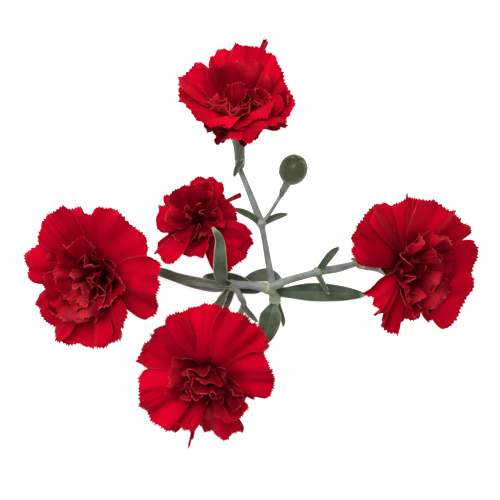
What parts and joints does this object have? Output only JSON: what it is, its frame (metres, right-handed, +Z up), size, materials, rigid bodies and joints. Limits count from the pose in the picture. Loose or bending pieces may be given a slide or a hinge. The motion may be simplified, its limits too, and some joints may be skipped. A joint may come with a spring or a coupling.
{
  "type": "cut spray carnation",
  "caption": "Cut spray of red carnations lying on a flat surface: ruffled double blooms in green calyxes and a closed bud on a thin branching stem with narrow leaves.",
  "frame": {"origin": "on the surface the spray lies on, under the middle of its outline", "axes": "+X along the spray's longest way, towards the bloom on the right branch; +Y towards the bloom on the long upper branch; +Z up from the surface"},
  "size_m": [0.1968, 0.1751, 0.0546],
  "materials": {
    "petal": "velvety",
    "calyx": "waxy",
    "stem": "waxy bloom",
    "leaf": "waxy bloom"
  },
  "bodies": {
    "root": {"bottom_calyx": "calyx", "bottom_petals": "petal", "bottom_stalk": "stem", "bud": "calyx", "bud_stalk": "stem", "centre_calyx": "calyx", "centre_petals": "petal", "centre_stalk": "stem", "leaf_branch_left": "leaf", "leaf_branch_right": "leaf", "leaf_lower_back": "leaf", "leaf_lower_front": "leaf", "leaf_middle_left": "leaf", "leaf_middle_right": "leaf", "leaf_right_down": "leaf", "leaf_right_up": "leaf", "leaf_upper_left": "leaf", "leaf_upper_pale": "leaf", "leaf_upper_rising": "leaf", "left_calyx": "calyx", "left_petals": "petal", "left_stalk": "stem", "main_stem": "stem", "right_branch": "stem", "right_calyx": "calyx", "right_petals": "petal", "top_branch": "stem", "top_calyx": "calyx", "top_petals": "petal"}
  },
  "joints": []
}
